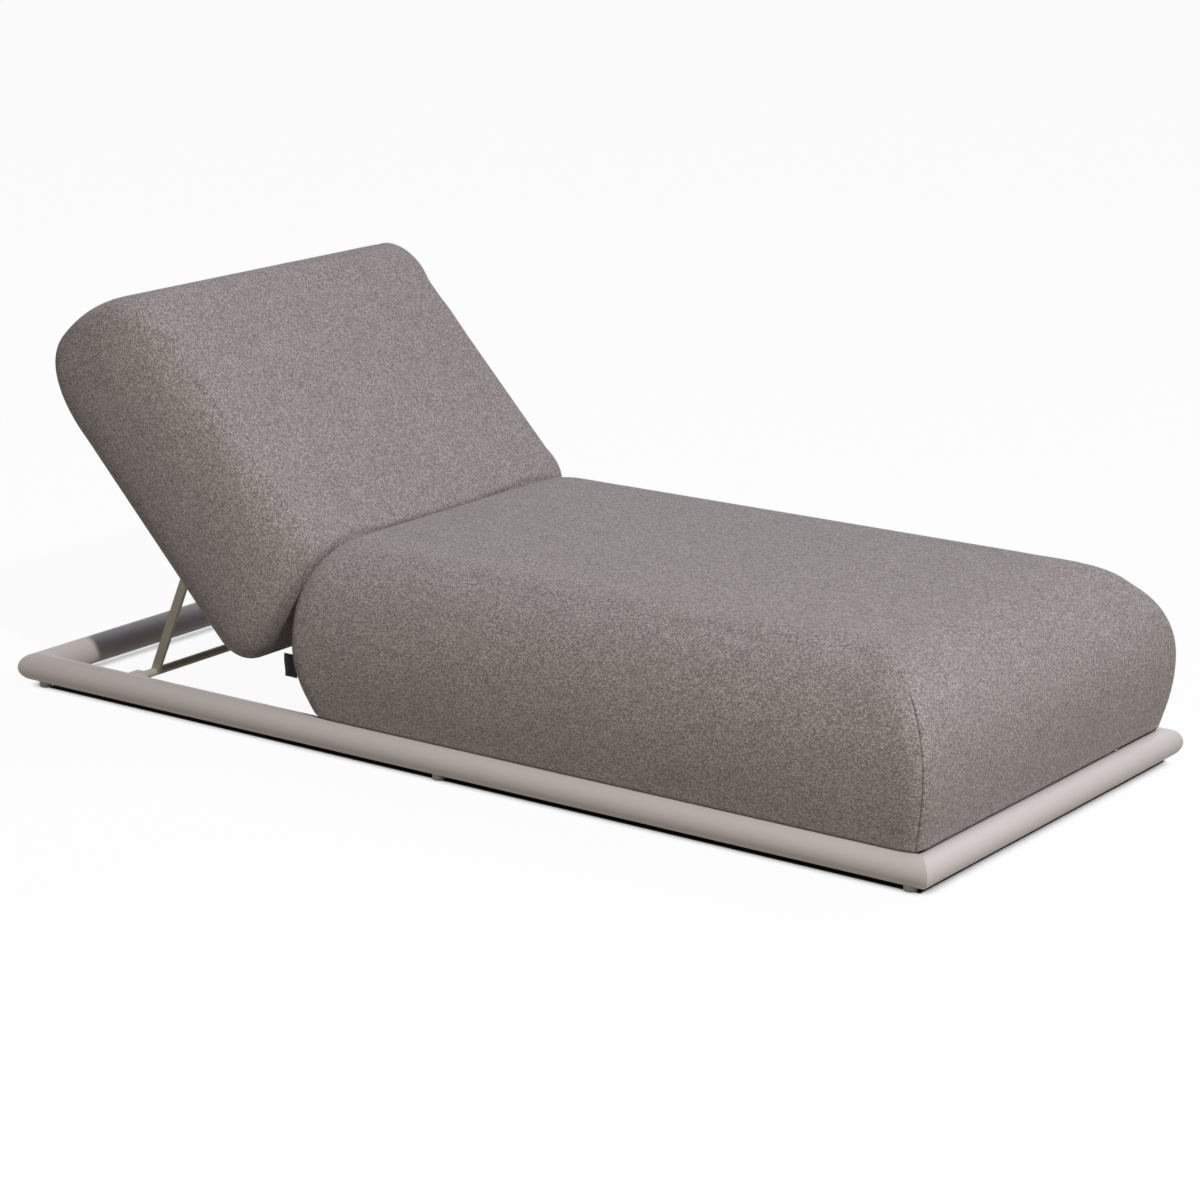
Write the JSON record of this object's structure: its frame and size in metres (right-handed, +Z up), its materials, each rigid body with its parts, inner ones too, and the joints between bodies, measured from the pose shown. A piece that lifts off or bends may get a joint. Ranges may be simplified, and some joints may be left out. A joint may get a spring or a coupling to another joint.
{
  "type": "spa relaxation lounger",
  "caption": "Deep upholstered lounger with a flat seat cushion and a reclining back cushion, on a low frame of mitred round tube.",
  "frame": {"origin": "on the floor under the middle of the frame, which is the bottom centre of the bounding box", "axes": "+X towards the foot end, +Y to the left of a person lying on it, +Z up"},
  "size_m": [2.05, 0.9, 0.7797],
  "materials": {
    "frame_metal": "matte",
    "prop_metal": "matte",
    "fabric": "matte",
    "foam": "matte",
    "tab_fabric": "matte",
    "slat_wood": "satin",
    "stainless": "satin",
    "dark_plastic": "matte",
    "buffer_rubber": "matte"
  },
  "bodies": {
    "base": {"bearing_block_screws": "stainless", "foot_rail": "frame_metal", "glide_screws": "stainless", "head_rail": "frame_metal", "hinge_crossbar": "frame_metal", "hinge_pin_clips": "stainless", "hinge_pins": "stainless", "left_bearing_block": "frame_metal", "left_foot_glide": "dark_plastic", "left_head_glide": "dark_plastic", "left_hinge_post": "frame_metal", "left_middle_glide": "dark_plastic", "left_side_rail": "frame_metal", "left_slat_ledge": "frame_metal", "right_bearing_block": "frame_metal", "right_foot_glide": "dark_plastic", "right_head_glide": "dark_plastic", "right_hinge_post": "frame_metal", "right_middle_glide": "dark_plastic", "right_side_rail": "frame_metal", "right_slat_ledge": "frame_metal", "seat_cushion_cover": "fabric", "seat_cushion_foam": "foam", "seat_slat_1": "slat_wood", "seat_slat_2": "slat_wood", "seat_slat_3": "slat_wood", "seat_slat_4": "slat_wood", "seat_slat_5": "slat_wood", "seat_slat_6": "slat_wood", "seat_slat_7": "slat_wood", "seat_slat_8": "slat_wood", "seat_tab": "tab_fabric", "slat_screws": "stainless"},
    "back": {"back_cushion_cover": "fabric", "back_cushion_foam": "foam", "back_lower_rail": "frame_metal", "back_slat_1": "slat_wood", "back_slat_2": "slat_wood", "back_slat_3": "slat_wood", "back_slat_4": "slat_wood", "back_upper_rail": "frame_metal", "buffers": "buffer_rubber", "hinge_bushes": "dark_plastic", "left_back_rail": "frame_metal", "left_hinge_lug": "frame_metal", "left_rack_plate": "frame_metal", "rack_bolts": "stainless", "rack_spacers": "dark_plastic", "right_back_rail": "frame_metal", "right_hinge_lug": "frame_metal", "right_rack_plate": "frame_metal"},
    "prop": {"left_prop_arm": "prop_metal", "left_prop_roller": "dark_plastic", "prop_axle": "prop_metal", "prop_pin_clips": "stainless", "prop_pins": "stainless", "right_prop_arm": "prop_metal", "right_prop_roller": "dark_plastic"}
  },
  "joints": [
    {"name": "back_recline", "type": "hinge", "parent": "base", "child": "back", "pos_m": [-0.372, 0, 0.207], "axis": [0, 1, 0], "range_deg": [-42.2, 0]},
    {"name": "prop_swing", "type": "hinge", "parent": "base", "child": "prop", "pos_m": [-0.768, 0, 0.045], "axis": [0, 1, 0], "range_deg": [-104.68, 0.1]}
  ],
  "couplings": [
    {"joint": "prop_swing", "follows": "back_recline", "ratio": 2.4781}
  ]
}
